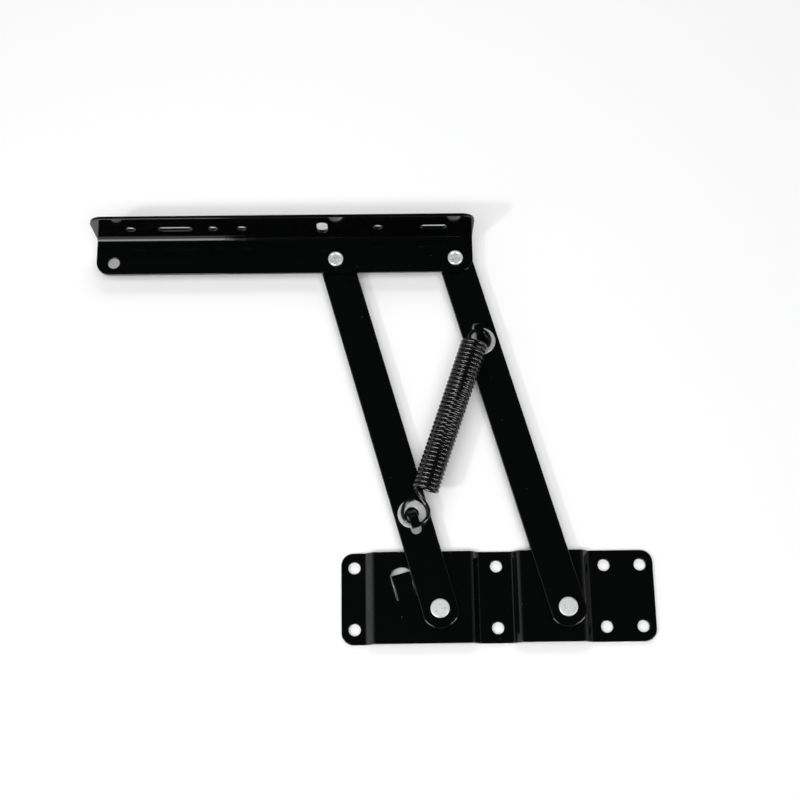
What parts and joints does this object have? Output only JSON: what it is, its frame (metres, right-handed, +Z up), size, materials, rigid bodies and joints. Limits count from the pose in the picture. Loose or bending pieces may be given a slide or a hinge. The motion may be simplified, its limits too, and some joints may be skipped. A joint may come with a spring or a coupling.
{
  "type": "lift top table mechanism",
  "caption": "Spring assisted parallelogram hinge that lifts a coffee table top up and back: joggled base plate, flat arms, angle bracket and tension spring.",
  "frame": {"origin": "centre of the rectangle of the four outer screw holes, on the back face of the base plate's feet", "axes": "+Z up when fitted, +X towards the rear end of the base plate, where the top swings down from; the plate's back face points to +Y and the arms and spring stand in front of it towards -Y"},
  "size_m": [0.3751, 0.049, 0.2835],
  "materials": {
    "black_paint": "glossy black paint on pressed steel",
    "base_rivet_zinc": "matt zinc plated rivet heads",
    "top_rivet_zinc": "bright zinc plated rivet heads with a dished centre",
    "washer_zinc": "zinc plated steel washers",
    "spring_wire": "black oiled spring wire"
  },
  "bodies": {
    "base": {"base_plate": "black_paint", "front_base_rivet": "base_rivet_zinc", "rear_base_rivet": "base_rivet_zinc", "front_base_washer": "washer_zinc", "rear_base_washer": "washer_zinc"},
    "front_arm": {"front_arm": "black_paint", "lower_spring_washer": "washer_zinc"},
    "rear_arm": {"rear_arm": "black_paint", "upper_spring_washer": "washer_zinc"},
    "top_bracket": {"top_bracket": "black_paint", "front_top_rivet": "top_rivet_zinc", "rear_top_rivet": "top_rivet_zinc", "front_top_washer": "washer_zinc", "rear_top_washer": "washer_zinc"},
    "spring_lower": {"tension_spring": "spring_wire"},
    "spring_upper": {"spring_upper_loop": "spring_wire"}
  },
  "joints": [
    {"name": "lift", "type": "hinge", "parent": "base", "child": "front_arm", "pos_m": [-0.0388, -0.01, -0.0081], "axis": [0, 1, 0], "range_deg": [0, 85], "stiffness_Nm_per_rad": 7.6, "springref_deg": -20.51},
    {"name": "rear_base_pivot", "type": "hinge", "parent": "base", "child": "rear_arm", "pos_m": [0.0445, -0.01, -0.0081], "axis": [0, 1, 0], "range_deg": [0, 85]},
    {"name": "front_top_pivot", "type": "hinge", "parent": "front_arm", "child": "top_bracket", "pos_m": [-0.10588, -0.0135, 0.23512], "axis": [0, 1, 0], "range_deg": [-85, 0]},
    {"name": "lower_spring_hook", "type": "hinge", "parent": "front_arm", "child": "spring_lower", "pos_m": [-0.05422, -0.01385, 0.04781], "axis": [0, 1, 0], "range_deg": [-28, 0]},
    {"name": "spring_stretch", "type": "slide", "parent": "spring_lower", "child": "spring_upper", "axis": [0.3295, 0, 0.9442], "range_m": [0, 0.078], "deforming": ["tension_spring", "spring_upper_loop"]}
  ],
  "couplings": [
    {"joint": "rear_base_pivot", "follows": "lift", "ratio": 1},
    {"joint": "front_top_pivot", "follows": "lift", "ratio": -1},
    {"joint": "lower_spring_hook", "follows": "lift", "ratio": -0.31774},
    {"joint": "spring_stretch", "follows": "lift", "m_per_rad": 0.051972}
  ]
}
